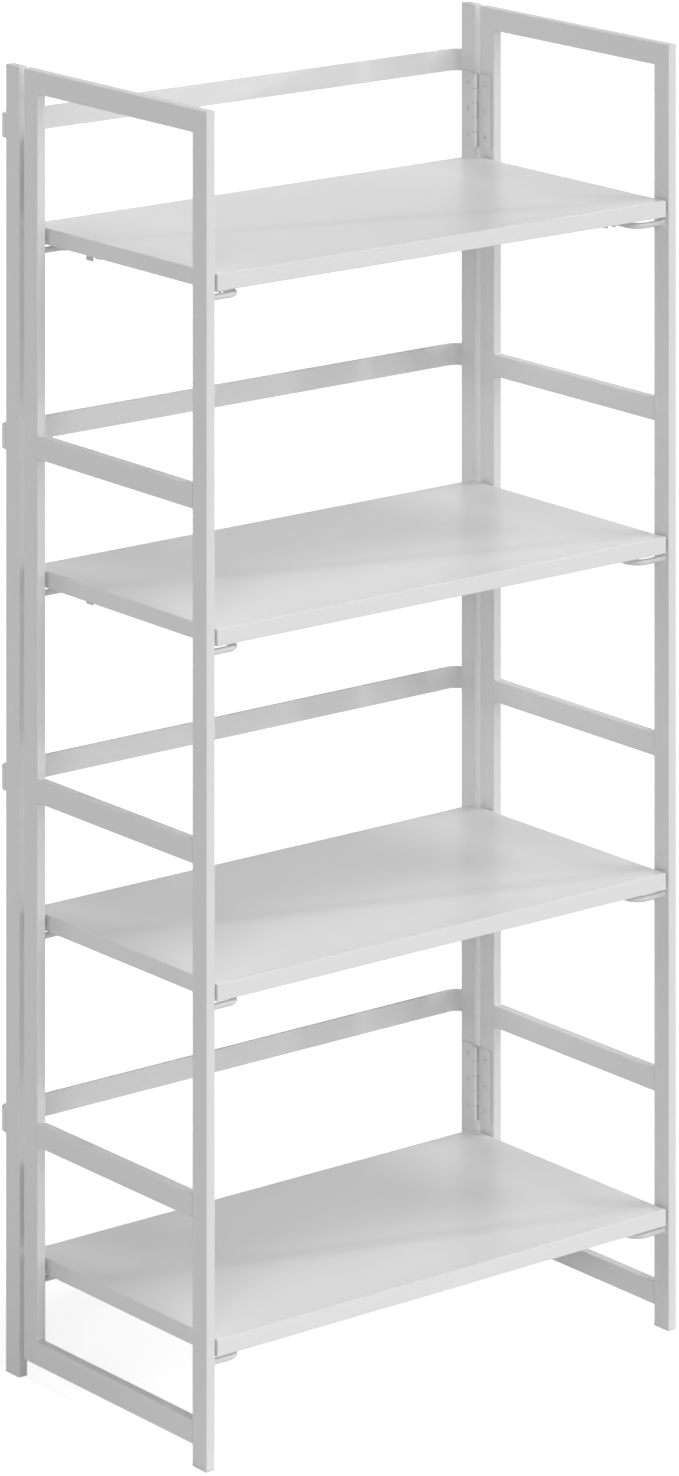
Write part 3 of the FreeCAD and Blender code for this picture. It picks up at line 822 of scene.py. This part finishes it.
@dataclass
class Shelf:
    """A board with the four clips under it that straddle the rods, and their screws."""

    number: int
    shop: Workshop

    def build(self) -> None:
        """Dresses the board, its clips and their screws."""
        board = f"shelf_{self.number}_board"
        low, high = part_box(board)
        finish = BandedBoard(
            f"satin_board_{self.number}", tone=0.82, roughness=0.30, roughness_change=0.012,
            patch_size=70 * MM, relief_size=0.8 * MM, relief_depth=0.003 * MM, rub_amount=0.1,
            rub_gain=0.01, centre=tuple((low + high) / 2), half_size=tuple((high - low) / 2),
        )
        self.shop.dress(board, finish.build())
        self.shop.dress(f"shelf_{self.number}_clips", self.shop.materials[Slot.CLIP])
        self.shop.dress(f"shelf_{self.number}_clip_screws", self.shop.materials[Slot.SCREW])
        LOG.info("shelf %d is dressed", self.number)


# ---------------------------------------------------------------------------------------------
# Studio
# ---------------------------------------------------------------------------------------------


@dataclass(frozen=True)
class Lamp:
    """A distant soft lamp, given by where it hangs as seen from the bookcase.

    Its rise is counted from the floor and its turn from the right toward the back, in degrees.
    """

    name: str
    rise: float
    turn: float
    level: float
    spread: float = 22.0

    def build(self) -> None:
        """Hangs the lamp."""
        light = bpy.data.lights.new(self.name, "SUN")
        light.angle = math.radians(self.spread)
        light.energy = self.level
        lamp = bpy.data.objects.new(self.name, light)
        bpy.context.scene.collection.objects.link(lamp)
        rise = math.radians(self.rise)
        turn = math.radians(self.turn)
        toward = Vector((math.cos(rise) * math.cos(turn), math.cos(rise) * math.sin(turn), math.sin(rise)))
        lamp.rotation_euler = toward.to_track_quat("Z", "Y").to_euler()


@dataclass(frozen=True)
class ViewPoint:
    """The camera. Its picture stays upright while its view drops, so that posts stay parallel."""

    place: tuple[float, float, float] = (-3.9048, -5.0177, 2.3653)
    heading: float = 38.905
    drop: float = 0.279513
    slide: float = 0.017573
    lens: float = 166.816
    sensor: float = 36.0

    def build(self) -> None:
        """Sets up the camera and makes it the scene's own."""
        turn = math.radians(self.heading)
        sideways = Vector((math.cos(turn), -math.sin(turn), 0.0))
        forward = Vector((math.sin(turn), math.cos(turn), 0.0)) - sideways * self.slide - UP * self.drop
        axes = Matrix((sideways, UP, -forward.normalized())).transposed().to_4x4()
        data = bpy.data.cameras.new("view_point")
        data.sensor_width = self.sensor
        data.lens = self.lens
        camera = bpy.data.objects.new("view_point", data)
        stand = bpy.data.objects.new("view_stand", None)
        for made in (camera, stand):
            bpy.context.scene.collection.objects.link(made)
        camera.parent = stand
        camera.matrix_parent_inverse = Matrix.Translation(self.place) @ axes
        bpy.context.scene.camera = camera


@dataclass
class Studio:
    """A white room without walls: the floor, the sky, the lamps and the camera."""

    floor_size: float = 60.0
    floor_tone: float = 0.7
    floor_roughness: float = 0.9
    floor_lift: float = 0.76
    sky_level: float = 0.04
    lamps: tuple[Lamp, ...] = (
        Lamp("key_lamp", rise=65.0, turn=315.0, level=0.62),
        Lamp("top_lamp", rise=65.0, turn=270.0, level=0.38),
        Lamp("front_high_lamp", rise=40.0, turn=270.0, level=0.40),
        Lamp("front_lamp", rise=20.0, turn=270.0, level=0.32),
        Lamp("front_right_lamp", rise=20.0, turn=315.0, level=0.44),
        Lamp("left_lamp", rise=20.0, turn=225.0, level=0.66),
        Lamp("back_left_lamp", rise=20.0, turn=157.5, level=0.22),
        Lamp("back_lamp", rise=12.0, turn=110.0, level=0.60),
        Lamp("window_lamp", rise=14.0, turn=341.6, level=0.72, spread=2.0),
    )
    view_point: ViewPoint = ViewPoint()

    def build(self) -> None:
        """Sets up the room."""
        self.lay_floor()
        self.hang_sky()
        for lamp in self.lamps:
            lamp.build()
        self.view_point.build()
        bpy.context.scene.view_settings.view_transform = "Standard"
        LOG.info("studio is set up with %d lamps", len(self.lamps))

    def seen_directly(self, wiring: Wiring) -> bpy.types.NodeSocket:
        """Finds the rays that show the background.

        Args:
            wiring: the tree of a material or of the world.

        Returns:
            1 for camera, glossy and transmission rays, and 0 for the rest.
        """
        path = wiring.add("LightPath")
        either = wiring.sum_up("MAXIMUM", path.outputs["Is Camera Ray"], path.outputs["Is Glossy Ray"])
        return wiring.sum_up("MAXIMUM", either, path.outputs["Is Transmission Ray"])

    def lay_floor(self) -> None:
        """Lays a pale floor that shows white and keeps the shadow that falls on it."""
        mesh = bmesh.new()
        bmesh.ops.create_grid(mesh, x_segments=1, y_segments=1, size=self.floor_size / 2)
        data = bpy.data.meshes.new("floor")
        mesh.to_mesh(data)
        mesh.free()
        floor = bpy.data.objects.new("floor", data)
        bpy.context.scene.collection.objects.link(floor)
        material = bpy.data.materials.new("floor")
        material.use_nodes = True
        wiring = Wiring(material.node_tree)
        shader = material.node_tree.nodes["Principled BSDF"]
        shader.inputs["Base Color"].default_value = grey(self.floor_tone)
        shader.inputs["Roughness"].default_value = self.floor_roughness
        shader.inputs["Specular IOR Level"].default_value = 0.0
        shader.inputs["Emission Color"].default_value = grey(1.0)
        glow = wiring.sum_up("MULTIPLY", self.seen_directly(wiring), self.floor_lift)
        wiring.feed(glow, shader.inputs["Emission Strength"])
        data.materials.append(material)

    def hang_sky(self) -> None:
        """Surrounds the room with an even sky that shows white."""
        world = bpy.data.worlds.new("sky")
        world.use_nodes = True
        bpy.context.scene.world = world
        wiring = Wiring(world.node_tree)
        sky = world.node_tree.nodes["Background"]
        sky.inputs["Color"].default_value = grey(1.0)
        shown = self.seen_directly(wiring)
        wiring.feed(wiring.spread(shown, self.sky_level, 1.0), sky.inputs["Strength"])


def main() -> None:
    """Builds the bookcase's looks and the studio round it."""
    logging.basicConfig(level=logging.INFO, format="%(name)s: %(message)s")
    shop = Workshop()
    shop.mix()
    for side in Side:
        SideFrame(side, shop).build()
    BackFrame(shop).build()
    for number in range(SHELVES):
        Shelf(number + 1, shop).build()
    Studio().build()


if __name__ == "__main__":
    main()
